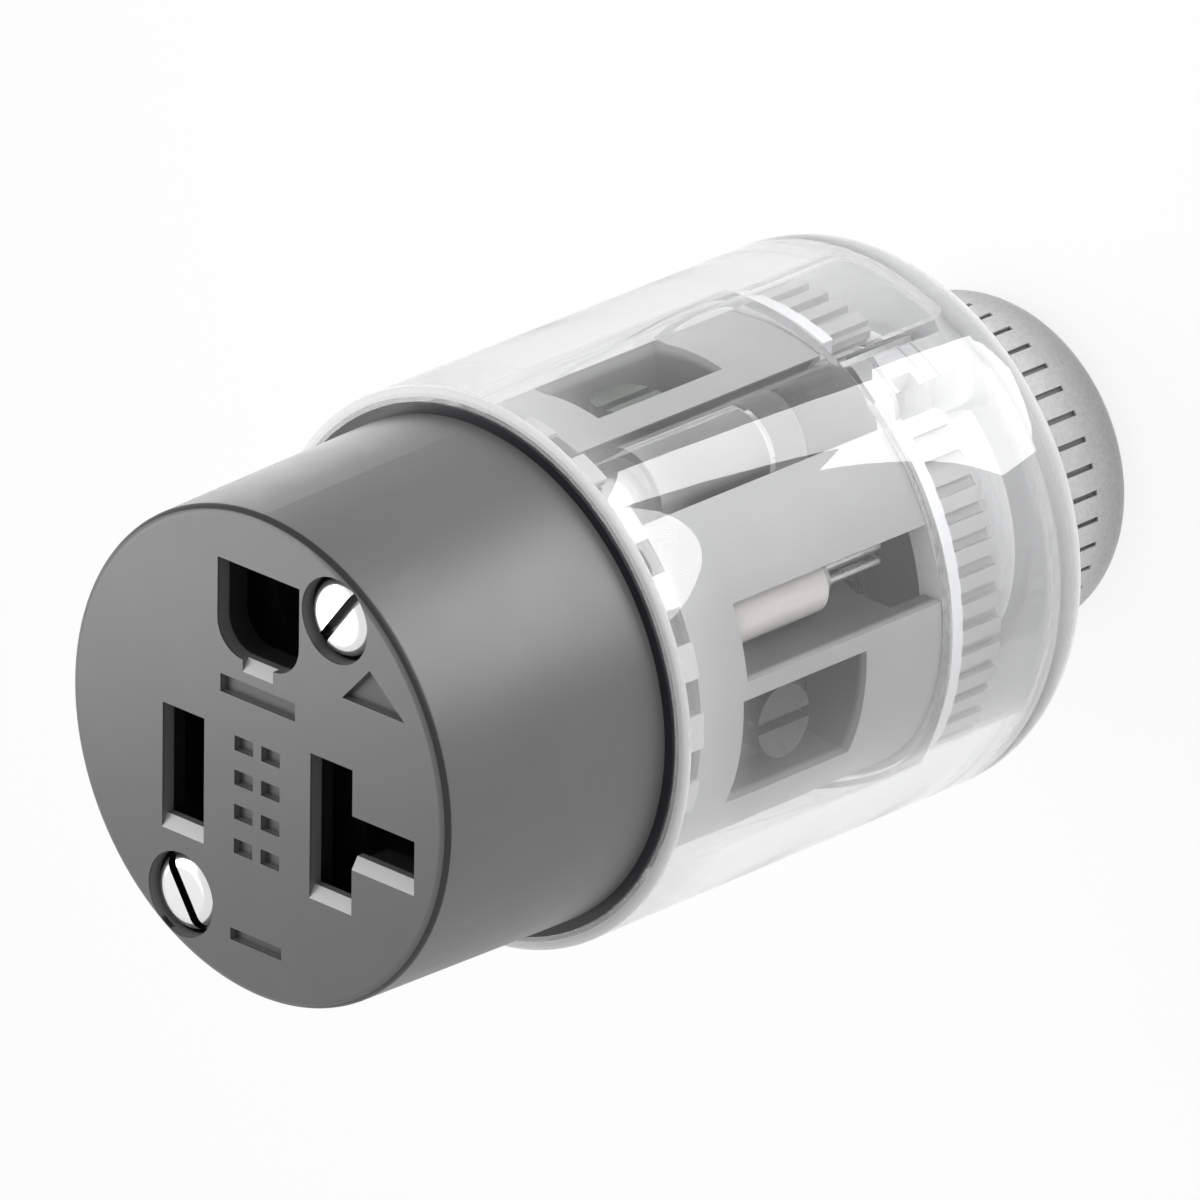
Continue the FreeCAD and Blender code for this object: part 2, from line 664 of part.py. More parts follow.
def wire(name, points):
    """A round wire along straight runs, each parallel to one axis, with ball corners."""
    pieces = []
    for index, (start, end) in enumerate(zip(points, points[1:])):
        axis = next(number for number in range(3) if start[number] != end[number])
        length = f"({end[axis]}) - ({start[axis]})"
        forward = (TO_PLUS_X, TO_PLUS_Y, UP)[axis]
        doc.recompute()
        low, high = start, end
        if size(length) < 0:
            low, high = end, start
            length = f"({start[axis]}) - ({end[axis]})"
        pieces.append(cylinder(f"{name}Run{index}", "lead_radius", length, *low, forward))
        if index:
            pieces.append(sphere(f"{name}Bend{index}", "lead_radius", *start))
    return fuse(name, *pieces)


def lamp_circuit():
    """Two leads from the lamp's foot, the resistor, and the lead on to the hot tab."""
    first_x = "(lamp_up - lead_spacing / 2)"
    second_x = "(lamp_up + lead_spacing / 2)"
    lamp_y = "(-lamp_right)"
    tab_y = "(tab_offset + sheet_thickness / 2)"
    end_x = "(blade_x + contact_width / 2 - lead_end)"
    neutral = wire("NeutralLead", [
        (first_x, lamp_y, "lamp_base"),
        (first_x, lamp_y, "lead_level"),
        (first_x, f"-{tab_y}", "lead_level"),
        (end_x, f"-{tab_y}", "lead_level"),
    ])
    resistor_y = "(-resistor_start)"
    resistor_end = "(resistor_length - resistor_start)"
    hot = wire("HotLead", [
        (second_x, lamp_y, "lamp_base"),
        (second_x, lamp_y, "lead_level"),
        (second_x, resistor_y, "lead_level"),
    ])
    resistor = cylinder(
        "Resistor", "resistor_radius", "resistor_length", second_x, resistor_y, "lead_level", TO_PLUS_Y
    )
    onward = wire("OnwardLead", [
        (second_x, resistor_end, "lead_level"),
        (second_x, tab_y, "lead_level"),
        (end_x, tab_y, "lead_level"),
    ])
    return neutral, hot, resistor, onward


def assembly_screws():
    def on_top(edge):
        return level_with(edge, "screw_top")

    screws = []
    for index, (x, y) in enumerate(SCREW_PLACES):
        blank = cylinder(f"ScrewHead{index}", "screw_head_radius", "screw_head_height", x, y, "screw_seat")
        head = rounded(f"ScrewDome{index}", blank, size("screw_head_round"), on_top)
        shank = cylinder(f"ScrewShank{index}", "screw_radius", "screw_length", x, y, "screw_tip")
        across = around("0", "2 * screw_head_radius + 2 * screw_slot_depth")
        slot_z = ("screw_top - screw_slot_depth", "face")
        bar = box(f"ScrewSlotBar{index}", around("0", "screw_slot_width"), across, slot_z)
        turn = FreeCAD.Rotation(FreeCAD.Vector(0, 0, 1), size(SCREW_SLOT_TURNS[index]))
        slot = place(compound(f"ScrewSlot{index}", [bar]), x, y, "0", turn)
        screws.append(cut(f"Screw{index}", fuse(f"ScrewSolid{index}", head, shank), slot))
    return compound("AssemblyScrews", screws)


def threaded_inserts():
    inserts = []
    for index, (x, y) in enumerate(SCREW_PLACES):
        spot = ("insert_length", x, y, "insert_rear")
        sleeve = cylinder(f"InsertSleeve{index}", "insert_radius", *spot)
        hole = cylinder(f"InsertThread{index}", "screw_radius + fit_clearance", *spot)
        inserts.append(cut(f"Insert{index}", sleeve, hole))
    return compound("ThreadedInserts", inserts)


def compound(name, items):
    item = doc.addObject("Part::Compound", name)
    item.Links = items
    return item


def design_body(name):
    return doc.addObject("PartDesign::Body", name)


def add_round(body, name, radius, height, z, kind="Additive"):
    item = body.newObject(f"PartDesign::{kind}Cylinder", name)
    return place(bind(item, Radius=radius, Height=height), "0", "0", z)


def groove_ring(body, name, count, x_span, width, z_span):
    """Cut one straight groove and repeat it round the axis."""
    groove = body.newObject("PartDesign::SubtractiveBox", name)
    near, far = x_span
    low, high = z_span
    bind(groove, Length=f"({far}) - ({near})", Width=width, Height=f"({high}) - ({low})")
    place(groove, near, f"-({width}) / 2", low)
    ring = body.newObject("PartDesign::PolarPattern", f"{name}Ring")
    ring.Originals = [groove]
    ring.Axis = (next(item for item in body.Origin.OriginFeatures if item.Role == "Z_Axis"), [""])
    ring.Angle = 360
    bind(ring, Occurrences=count)
    body.Tip = ring
    doc.recompute()
    return ring


def design_round(body, name, base, radius, picked):
    doc.recompute()
    item = body.newObject("PartDesign::Fillet", name)
    edges = enumerate(base.Shape.Edges, start=1)
    item.Base = (base, [f"Edge{number}" for number, edge in edges if picked(edge)])
    item.Radius = radius
    body.Tip = item
    doc.recompute()
    return item


def terminal_cap():
    body = design_body("TerminalCap")
    add_round(body, "CapBlank", "cap_radius", "cap_length", "cap_rear")
    ribs = ("cap_radius - cap_rib_depth", "cap_radius + cap_rib_depth")
    rib_level = ("cap_rear", "cap_front - cap_flange")
    groove_ring(body, "CapGroove", "cap_rib_count", ribs, "cap_rib_gap", rib_level)
    add_round(body, "CapHollow", "cap_radius - cap_rim", "cap_length", "cap_rear + cap_floor", "Subtractive")
    add_round(body, "CapBore", "wire_bore_radius", "cap_length", "cap_rear", "Subtractive")
    for index, (x, y) in enumerate(SCREW_PLACES):
        for name, scale in (("Notch", "1"), ("NotchMouth", "cap_radius / screw_circle_radius")):
            notch = body.newObject("PartDesign::SubtractiveCylinder", f"Cap{name}{index}")
            bind(notch, Radius="pillar_radius + passage_clearance", Height="cap_length")
            place(notch, f"{x} * {scale}", f"{y} * {scale}", "cap_rear")
    return body


def grip_collet():
    body = design_body("GripCollet")
    length = "collar_top - collet_rear"
    add_round(body, "ColletBlank", "collet_radius", length, "collet_rear")
    add_round(body, "ColletBore", "collet_radius - collet_wall", length, "collet_rear", "Subtractive")
    through = ("grommet_radius", "collet_radius + collet_wall")
    window = ("collet_rear + collet_window_margin", "collar_top - collet_window_margin")
    groove_ring(body, "ColletWindow", "collet_window_count", through, "collet_window_width", window)
    return body


def cord_grommet():
    length = "collar_top - collet_rear"
    sleeve = cylinder("GrommetSleeve", "grommet_radius", length, z="collet_rear")
    return cut("CordGrommet", sleeve, cylinder("GrommetBore", "cord_bore_radius", length, z="collet_rear"))


def slip_ring():
    ring = cylinder("SlipBlank", "collet_radius", "slip_ring_thickness", z="slip_rear")
    hole = cylinder("SlipBore", "nut_bore_radius", "slip_ring_thickness", z="slip_rear")
    return cut("SlipRing", ring, hole)


def grip_nut():
    body = design_body("GripNut")
    head = add_round(body, "NutHead", "nut_radius", "nut_head_length", "0")
    design_round(body, "NutDome", head, size("nut_round"), circle_at("0", "nut_radius"))
    ribs = ("nut_radius - nut_rib_depth", "nut_radius + nut_rib_depth")
    level = ("nut_head_length - nut_rib_length", "nut_head_length")
    groove_ring(body, "NutGroove", "nut_rib_count", ribs, "nut_rib_gap", level)
    add_round(body, "NutSleeve", "thread_radius", "thread_length", "nut_head_length")
    add_round(body, "NutBore", "nut_bore_radius", "thread_top", "0", "Subtractive")
    mouth = body.newObject("PartDesign::SubtractiveCone", "NutMouth")
    bind(mouth, Radius1="nut_bore_radius + nut_mouth", Radius2="nut_bore_radius", Height="nut_mouth")
    place(mouth, "0", "0", "0")
    return body


node(front_housing(), "front_housing")
node(body_gasket(), "body_gasket")
node(back_body(), "back_body")
node(contact_carrier(), "contact_carrier")
node(terminal_cap(), "terminal_cap")
node(blade_contact("Hot", ""), "hot_contact")
node(blade_contact("Neutral", "-"), "neutral_contact")
node(ground_contact(), "ground_contact")
for terminal, (offset, width, axis, sign, turn) in terminal_places().items():
    node(clamp_plate(terminal, offset, width, axis, sign), f"{terminal.lower()}_clamp_plate")
    node(terminal_screw(terminal, offset, axis, sign, turn), f"{terminal.lower()}_terminal_screw")
node(indicator_lamp(), "indicator_lamp")
neutral_lead, hot_lead, resistor, onward_lead = lamp_circuit()
node(neutral_lead, "lamp_lead_neutral")
node(hot_lead, "lamp_lead_hot")
node(resistor, "lamp_resistor")
node(onward_lead, "resistor_lead")
node(assembly_screws(), "assembly_screws")
node(threaded_inserts(), "threaded_inserts")
node(grip_collet(), "grip_collet")
node(cord_grommet(), "cord_grommet")
node(slip_ring(), "slip_ring")
node(grip_nut(), "grip_nut")

doc.recompute()

for item in doc.Objects:
    if "Invalid" in item.State or "Error" in item.State:
        raise RuntimeError(f"{item.Label} failed: {item.State}")
for item in nodes:
    if item.Shape.isNull() or not item.Shape.isValid():
        raise RuntimeError(f"{item.Label} has no valid shape")

os.makedirs("parts", exist_ok=True)
for item in nodes:
    item.Shape.exportStep(f"parts/{item.Label}.step")
    print(f"{item.Label}: {len(item.Shape.Solids)} solid(s), {item.Shape.Volume:.1f} mm3")
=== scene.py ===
import json
import math

import bpy
from mathutils import Matrix, Vector


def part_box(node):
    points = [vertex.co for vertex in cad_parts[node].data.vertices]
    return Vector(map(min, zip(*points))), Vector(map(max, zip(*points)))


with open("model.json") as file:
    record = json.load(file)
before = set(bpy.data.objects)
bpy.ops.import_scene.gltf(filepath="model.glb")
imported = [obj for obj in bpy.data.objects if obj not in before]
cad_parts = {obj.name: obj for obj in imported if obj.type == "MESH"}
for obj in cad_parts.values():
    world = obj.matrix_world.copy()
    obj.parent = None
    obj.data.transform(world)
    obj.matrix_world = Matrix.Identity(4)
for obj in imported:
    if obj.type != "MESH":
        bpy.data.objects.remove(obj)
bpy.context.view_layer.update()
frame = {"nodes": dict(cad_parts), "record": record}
nodes = frame["nodes"]

MM = 0.001

# Levels along the axis and radii, from the CAD pieces
SPIGOT_LEVEL, FACE_LEVEL = (corner.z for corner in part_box("front_housing"))
BODY_REAR, BODY_FRONT = (corner.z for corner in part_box("back_body"))
GASKET_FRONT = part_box("body_gasket")[1].z
CAP_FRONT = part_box("terminal_cap")[1].z
SCREW_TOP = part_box("assembly_screws")[1].z
DRUM_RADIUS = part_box("contact_carrier")[1].y
NUT_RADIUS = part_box("grip_nut")[1].y

# Camera: where it stands round the face, in degrees, how far off, and the point that it looks at
VIEW_SIDE = 43.645
VIEW_RISE = 23.97
VIEW_ROLL = 0.823
VIEW_DISTANCE = 1.3495
FOCUS_BEHIND_FACE = 33.75 * MM
FOCUS_RIGHT = -2.527 * MM
FOCUS_UP = 0.082 * MM
SENSOR_WIDTH = 36.0
PICTURE_WIDTH = 1200
FOCAL_PIXELS = 21767
CLIP_NEAR, CLIP_FAR = 0.01, 20

# Widths over which one tone turns into the next
LINE_BLUR = 0.03 * MM
EDGE_BLUR = 0.05 * MM
SOFT_BLUR = 0.1 * MM

# Parts of a noise's range that a change of tone takes up
WIDE_NOISE = 0.2, 0.8
MIDDLE_NOISE = 0.3, 0.7
NARROW_NOISE = 0.35, 0.65

# How far a surface faces out of the face where a tone starts, and where it is complete
RECESS_FLOOR_FACING = 0.4, 0.6
NOT_STEEP_FACING = 0.7, 0.75
NOT_LEVEL_FACING = 0.95, 0.92
SLOT_FLOOR_FACING = 0.93, 0.95
SLOT_WALL_FACING = 0.08, 0.05
REAR_FACING = -0.8, -0.9

# Grays have this much more blue than red and green
BLUE_TRACE = 1.01

# Front housing: roughness of its side, and the share of it that the face has
SIDE_ROUGHNESS = 0.42, 0.46
FACE_ROUGHNESS_SHARE = 0.66

# Front housing: a recess is deeper than the depth, ahead of the level and nearer the axis than the reach
RECESS_DEPTH = 0.12 * MM
RECESS_LEVEL = SPIGOT_LEVEL + 5 * MM
RECESS_LEVEL_BLUR = 1 * MM
RECESS_REACH = 15.85 * MM
SLOT_LIP = 1.0 * MM
LEAD_IN_REACH = 15.2 * MM

# Front housing: a dark line painted on the face's rounded edge as painted shade, and the spigot's lands
# painted pale as painted light
RIM_LINE_FRONT = FACE_LEVEL - 0.1 * MM
RIM_LINE_REAR = FACE_LEVEL - 0.47 * MM
RIM_LINE_RADIUS = 15.75 * MM
LAND_LEVEL = GASKET_FRONT - EDGE_BLUR
LAND_RADIUS = 15.05 * MM
LAND_BLUR = 0.15 * MM

# Contact carrier and terminal cap: painted shade in the bays, which start below the drum, and where the
# housing covers the carrier's front; a painted highlight on the cap's flange
BAY_RADIUS = DRUM_RADIUS - 0.3 * MM
BAY_BLUR = 0.4 * MM
COVERED_LEVEL = SPIGOT_LEVEL + 2.2 * MM
COVERED_BLUR = 0.4 * MM
FLANGE_LEVEL = CAP_FRONT - 1.0 * MM

# Assembly screws: the slot's floor lies below one level, and its walls above the other
SLOT_FLOOR_LEVEL = SCREW_TOP - 0.3 * MM
SLOT_WALL_LEVEL = SCREW_TOP - 0.85 * MM

# Clear body: frosted lip, haze behind it, and haze on the rear shoulder that also paints it pale as a
# painted reflection
LIP_LEVEL = BODY_FRONT - 0.45 * MM
LIP_RADIUS = 17.5 * MM
FRONT_HAZE_LEVEL = BODY_FRONT - 7.0 * MM
FRONT_HAZE = 0.25
SHOULDER_HAZE_REFLECTION_START = BODY_REAR + 4.5 * MM
SHOULDER_HAZE_REFLECTION_FULL = BODY_REAR + 1.0 * MM
SHOULDER_HAZE_AND_REFLECTION = 0.82
HAZY_CLEARNESS = 0.15
POLISHED_ROUGHNESS = 0.03
FROSTED_ROUGHNESS = 0.45

# Grip nut: levels between which the dome's painted shade turns into the band's tone, and the place of the
# grooves' painted shade
DOME_LEVEL = 1.5 * MM
BAND_LEVEL = 6.0 * MM
GROOVE_LEVEL = 4.5 * MM
GROOVE_TOP = NUT_RADIUS - 0.08 * MM
GROOVE_TOP_BLUR = 0.08 * MM
GROOVE_FLOOR = NUT_RADIUS - 0.5 * MM

# Studio: the floor and the world look white, and light the object less
WORLD_LIGHT = 0.55
FLOOR_SPREAD = 6.0
FLOOR_SHARE = 0.78
FLOOR_GLOW = 1.1
PANEL_LIFT = 0.5 * MM

# Lamps that stand free: place, the point that they face, width and height, and radiance
FACE_MIDDLE = Vector((0, 0, FACE_LEVEL))
BODY_MIDDLE = Vector((0, 0, FACE_LEVEL / 2))
LAMPS = {
    "softbox": (FACE_MIDDLE + Vector((11.675, 58.65, 61.37)) * MM, FACE_MIDDLE, 100 * MM, 56 * MM, 3.1),
    "fill": (BODY_MIDDLE + Vector((150, -130, 10)) * MM, BODY_MIDDLE, 140 * MM, 80 * MM, 2.4),
}

# Panels on the floor: x, y, width, depth, turn in degrees and radiance
REFLECTED_PANELS = {
    "housing_panel": (59 * MM, -57 * MM, 66 * MM, 19 * MM, 45.8, 15),
    "front_panel": (50 * MM, -48.2 * MM, 56 * MM, 5.4 * MM, 45.8, 6.5),
    "near_panel": (29 * MM, -23 * MM, 24 * MM, 22 * MM, 0, 8.5),
    "far_panel": (53 * MM, -22 * MM, 28 * MM, 15 * MM, 0, 8.5),
    "back_panel": (25 * MM, 78 * MM, 70 * MM, 32 * MM, 0, 2.4),
}
BOUNCE_CARDS = {
    "upper_card": (52 * MM, 12 * MM, 64 * MM, 64 * MM, 0, 1.5),
    "lower_card": (-30 * MM, -54 * MM, 64 * MM, 64 * MM, 0, 1.5),
}


def view_axes():
    """Right, up and forward of the camera, from the face's right (-Y), up (+X) and back (-Z)."""
    side, rise, roll = (math.radians(angle) for angle in (VIEW_SIDE, VIEW_RISE, VIEW_ROLL))
    level_right = Vector((0, -math.cos(side), -math.sin(side)))
    forward = Vector((-math.sin(rise), math.sin(side) * math.cos(rise), -math.cos(side) * math.cos(rise)))
    level_up = level_right.cross(forward)
    right = math.cos(roll) * level_right + math.sin(roll) * level_up
    up = math.cos(roll) * level_up - math.sin(roll) * level_right
    return right, up, forward


def make_camera():
    right, up, forward = view_axes()
    focus = Vector((0, 0, FACE_LEVEL - FOCUS_BEHIND_FACE)) + FOCUS_RIGHT * right + FOCUS_UP * up
    data = bpy.data.cameras.new("camera")
    data.sensor_width = SENSOR_WIDTH
    data.lens = FOCAL_PIXELS * SENSOR_WIDTH / PICTURE_WIDTH
    data.clip_start = CLIP_NEAR
    data.clip_end = CLIP_FAR
    camera = bpy.data.objects.new("camera", data)
    bpy.context.scene.collection.objects.link(camera)
    turn = Matrix((right, up, -forward)).transposed().to_4x4()
    camera.matrix_world = Matrix.Translation(focus - VIEW_DISTANCE * forward) @ turn
    bpy.context.scene.camera = camera


class Recipe:
    """A new material and short ways to add and join its nodes."""

    def __init__(self, name):
        self.material = bpy.data.materials.new(name)
        self.material.use_nodes = True
        self.tree = self.material.node_tree
        self.shader = self.tree.nodes["Principled BSDF"]
        self.output = self.tree.nodes["Material Output"]
        self.coordinates = self.add("ShaderNodeTexCoord").outputs["Object"]

    def add(self, kind, **values):
        node = self.tree.nodes.new(kind)
        for name, value in values.items():
            setattr(node, name, value)
        return node

    def join(self, source, target):
        self.tree.links.new(source, target)

    def set(self, **values):
        """Set the shader's own sockets, with an underscore for each space in a socket's name."""
        for name, value in values.items():
            socket = self.shader.inputs[name.replace("_", " ")]
            socket.default_value = (*value, 1) if isinstance(value, tuple) else value

    def noise(self, scale, detail=4.0, stretch=(1, 1, 1)):
        mapping = self.add("ShaderNodeMapping")
        mapping.inputs["Scale"].default_value = stretch
        self.join(self.coordinates, mapping.inputs["Vector"])
        noise = self.add("ShaderNodeTexNoise")
        noise.inputs["Scale"].default_value = scale
        noise.inputs["Detail"].default_value = detail
        self.join(mapping.outputs["Vector"], noise.inputs["Vector"])
        return noise.outputs["Fac"]

    def remap(self, source, start, end, low=0.0, high=1.0):
        """Stretch the part of a source between two values to another pair, and hold it beyond them."""
        span = self.add("ShaderNodeMapRange")
        for name, value in zip(("From Min", "From Max", "To Min", "To Max"), (start, end, low, high)):
            span.inputs[name].default_value = value
        self.join(source, span.inputs["Value"])
        return span.outputs["Result"]

    def above(self, source, limit, blur):
        """0 up to a limit, and 1 from a blur beyond it."""
        return self.remap(source, limit, limit + blur)

    def below(self, source, limit, blur):
        """0 down to a limit, and 1 from a blur under it."""
        return self.remap(source, limit, limit - blur)

    def combine(self, operation, first, second):
        both = self.add("ShaderNodeMath", operation=operation)
        self.join(first, both.inputs[0])
        self.join(second, both.inputs[1])
        return both.outputs["Value"]

    def product(self, first, second):
        return self.combine("MULTIPLY", first, second)

    def larger(self, first, second):
        return self.combine("MAXIMUM", first, second)

    def height(self):
        """Distance along the connector's axis from its flat end."""
        parts = self.add("ShaderNodeSeparateXYZ")
        self.join(self.coordinates, parts.inputs["Vector"])
        return parts.outputs["Z"]

    def radius(self):
        """Distance from the connector's axis."""
        flat = self.add("ShaderNodeVectorMath", operation="MULTIPLY")
        flat.inputs[1].default_value = (1, 1, 0)
        self.join(self.coordinates, flat.inputs[0])
        length = self.add("ShaderNodeVectorMath", operation="LENGTH")
        self.join(flat.outputs["Vector"], length.inputs[0])
        return length.outputs["Value"]

    def facing(self):
        """How far a surface faces along the axis, out of the face."""
        parts = self.add("ShaderNodeSeparateXYZ")
        self.join(self.add("ShaderNodeNewGeometry").outputs["True Normal"], parts.inputs["Vector"])
        return parts.outputs["Z"]

    def mix(self, share, low, high):
        """One colour or the other, or a blend of them, by a 0 to 1 share."""
        blend = self.add("ShaderNodeMix", data_type="RGBA")
        self.join(share, blend.inputs["Factor"])
        for name, colour in (("A_Color", low), ("B_Color", high)):
            socket = next(item for item in blend.inputs if item.identifier == name)
            if isinstance(colour, tuple):
                socket.default_value = (*colour, 1)
            else:
                self.join(colour, socket)
        return next(item for item in blend.outputs if item.identifier == "Result_Color")

    def tint(self, colour):
        self.join(colour, self.shader.inputs["Base Color"])

    def shine(self, source, low, high):
        """An uneven roughness between two values."""
        self.join(self.remap(source, *MIDDLE_NOISE, low, high), self.shader.inputs["Roughness"])

    def bump(self, source, height):
        bump = self.add("ShaderNodeBump")
        bump.inputs["Distance"].default_value = height
        self.join(source, bump.inputs["Height"])
        self.join(bump.outputs["Normal"], self.shader.inputs["Normal"])


def gray(level):
    """A gray with a trace of blue."""
    return (level, level, level * BLUE_TRACE)


def drift(recipe, low, high, scale=180):
    """A slow, slight change of colour over a surface."""
    return recipe.mix(recipe.remap(recipe.noise(scale, detail=2), *WIDE_NOISE), low, high)


def grain(recipe, roughness, wear=0.04, scale=9000, height=0.004 * MM):
    """The fine texture that a mould leaves, with an uneven shine."""
    recipe.shine(recipe.noise(scale=400), roughness - wear, roughness + wear)
    recipe.bump(recipe.noise(scale, detail=2), height)


def moulded(name, low, high, roughness):
    """Plain moulded plastic or rubber."""
    recipe = Recipe(name)
    recipe.tint(drift(recipe, low, high))
    grain(recipe, roughness)
    return recipe.material


def housing_nylon():
    """Gray nylon with painted shade on the face, in its recesses and slots and on its rounded edge, and
    painted highlights on the lead-ins and the spigot's lands.
    """
    recipe = Recipe("housing_gray")
    height, radius, facing = recipe.height(), recipe.radius(), recipe.facing()

    on_face = recipe.remap(height, RIM_LINE_REAR, RIM_LINE_FRONT)
    side_nylon = drift(recipe, gray(0.138), gray(0.148))
    # Painted shade: the face is painted darker than the side, though both are the same nylon.
    shaded_face_nylon = drift(recipe, gray(0.105), gray(0.113))
    colour = recipe.mix(on_face, side_nylon, shaded_face_nylon)

    inside = recipe.below(radius, RECESS_REACH, RECESS_DEPTH)
    front = recipe.product(inside, recipe.above(height, RECESS_LEVEL, RECESS_LEVEL_BLUR))
    sunk = recipe.product(front, recipe.below(height, FACE_LEVEL - RECESS_DEPTH, RECESS_DEPTH))
    # Painted shade: the floors of the face's recesses are painted darker than the nylon.
    recess_wall, recess_floor_shade = gray(0.16), gray(0.07)
    recess_shade = recipe.mix(recipe.remap(facing, *RECESS_FLOOR_FACING), recess_wall, recess_floor_shade)
    colour = recipe.mix(sunk, colour, recess_shade)

    deep = recipe.product(front, recipe.below(height, FACE_LEVEL - SLOT_LIP, EDGE_BLUR))
    # Painted shade: the slots are painted near black deeper than the lip.
    slot_shade = gray(0.015)
    colour = recipe.mix(deep, colour, slot_shade)

    sloped = recipe.product(
        recipe.remap(facing, *NOT_STEEP_FACING),
        recipe.remap(facing, *NOT_LEVEL_FACING),
    )
    on_lead_in = recipe.product(recipe.below(radius, LEAD_IN_REACH, RECESS_DEPTH), sloped)
    # Painted highlight: the lead-ins are painted pale where light catches them.
    polish_and_highlight = gray(0.4)
    colour = recipe.mix(on_lead_in, colour, polish_and_highlight)

    rounded_edge = recipe.product(
        recipe.below(height, RIM_LINE_FRONT, LINE_BLUR),
        recipe.above(height, RIM_LINE_REAR - LINE_BLUR, LINE_BLUR),
    )
    on_rim_line = recipe.product(rounded_edge, recipe.above(radius, RIM_LINE_RADIUS, LINE_BLUR))
    # Painted shade: a near black line is painted on the face's rounded edge.
    rim_line_shade = gray(0.006)
    colour = recipe.mix(on_rim_line, colour, rim_line_shade)

    on_land = recipe.product(
        recipe.below(height, LAND_LEVEL, EDGE_BLUR),
        recipe.above(radius, LAND_RADIUS, LAND_BLUR),
    )
    # Painted light: the spigot's lands, seen through the clear body, are painted pale.
    land_light = gray(0.62)
    recipe.tint(recipe.mix(on_land, colour, land_light))

    satin = recipe.remap(recipe.noise(scale=400, detail=1), *WIDE_NOISE, *SIDE_ROUGHNESS)
    face_share = recipe.remap(on_face, 0.0, 1.0, 1.0, FACE_ROUGHNESS_SHARE)
    recipe.join(recipe.product(satin, face_share), recipe.shader.inputs["Roughness"])
    recipe.bump(recipe.noise(scale=3000, detail=2), height=0.0015 * MM)
    return recipe.material


def carrier_plastic():
    """Pale gray plastic, with painted shade in its bays and on the end of its spigot, and near black painted
    shade where the front housing covers it.
    """
    recipe = Recipe("carrier_gray")
    height = recipe.height()
    drum, bay_shade, spigot_end_shade, covered_shade = drift(recipe, gray(0.37), gray(0.42)), gray(0.1), gray(0.3), gray(0.012)
    # Painted shade: the bays, the spigot's end and the part under the front housing are painted dark.
    colour = recipe.mix(recipe.below(recipe.radius(), BAY_RADIUS, BAY_BLUR), drum, bay_shade)
    colour = recipe.mix(recipe.above(height, SPIGOT_LEVEL - SOFT_BLUR, SOFT_BLUR), colour, spigot_end_shade)
    recipe.tint(recipe.mix(recipe.above(height, COVERED_LEVEL, COVERED_BLUR), colour, covered_shade))
    grain(recipe, roughness=0.36)
    return recipe.material


def cap_plastic():
    """Pale gray plastic, with its flange painted white as a painted highlight."""
    recipe = Recipe("cap_gray")
    ribs, flange_highlight = drift(recipe, gray(0.45), gray(0.51)), gray(0.86)
    # Painted highlight: the flange is painted white.
    recipe.tint(recipe.mix(recipe.above(recipe.height(), FLANGE_LEVEL, SOFT_BLUR), ribs, flange_highlight))
    grain(recipe, roughness=0.36)
    return recipe.material


def streaked_metal(name, roughness, wear=0.06, grit=0.003 * MM):
    """A drawn or turned metal with fine streaks along the axis, still without its colour."""
    streaks = (1, 1, 12)
    recipe = Recipe(name)
    recipe.set(Metallic=1.0)
    fine_streaks = recipe.noise(scale=2500, detail=3, stretch=streaks)
    recipe.shine(fine_streaks, roughness - wear, roughness + wear)
    recipe.bump(recipe.noise(scale=6000, detail=2, stretch=streaks), grit)
    return recipe


def metal(name, low, high, roughness):
    recipe = streaked_metal(name, roughness)
    recipe.tint(drift(recipe, low, high, scale=300))
    return recipe.material


def bright_screw():
    """Bright plate, with painted shade on the floor and walls of the head's slot."""
    recipe = streaked_metal("screw_bright", roughness=0.22, wear=0.01, grit=0.0004 * MM)
    height, facing = recipe.height(), recipe.facing()
    plate = drift(recipe, gray(0.7), gray(0.76), scale=300)
    # Painted shade: the slot's floor and walls are painted dark.
    slot_floor_shade, slot_wall_shade = gray(0.1), gray(0.05)
    on_floor = recipe.product(
        recipe.below(height, SLOT_FLOOR_LEVEL, SOFT_BLUR),
        recipe.remap(facing, *SLOT_FLOOR_FACING),
    )
    on_wall = recipe.product(
        recipe.above(height, SLOT_WALL_LEVEL, EDGE_BLUR),
        recipe.remap(facing, *SLOT_WALL_FACING),
    )
    colour = recipe.mix(on_floor, plate, slot_floor_shade)
    recipe.tint(recipe.mix(on_wall, colour, slot_wall_shade))
    return recipe.material


def gasket_rubber():
    """Black rubber, with painted light on the rear face that presses on the clear body."""
    recipe = Recipe("gasket_black")
    black, rear_light = drift(recipe, (0.011, 0.01, 0.013), (0.018, 0.016, 0.021)), gray(0.5)
    # Painted light: the rear face is painted pale gray.
    recipe.tint(recipe.mix(recipe.remap(recipe.facing(), *REAR_FACING), black, rear_light))
    grain(recipe, roughness=0.32)
    return recipe.material


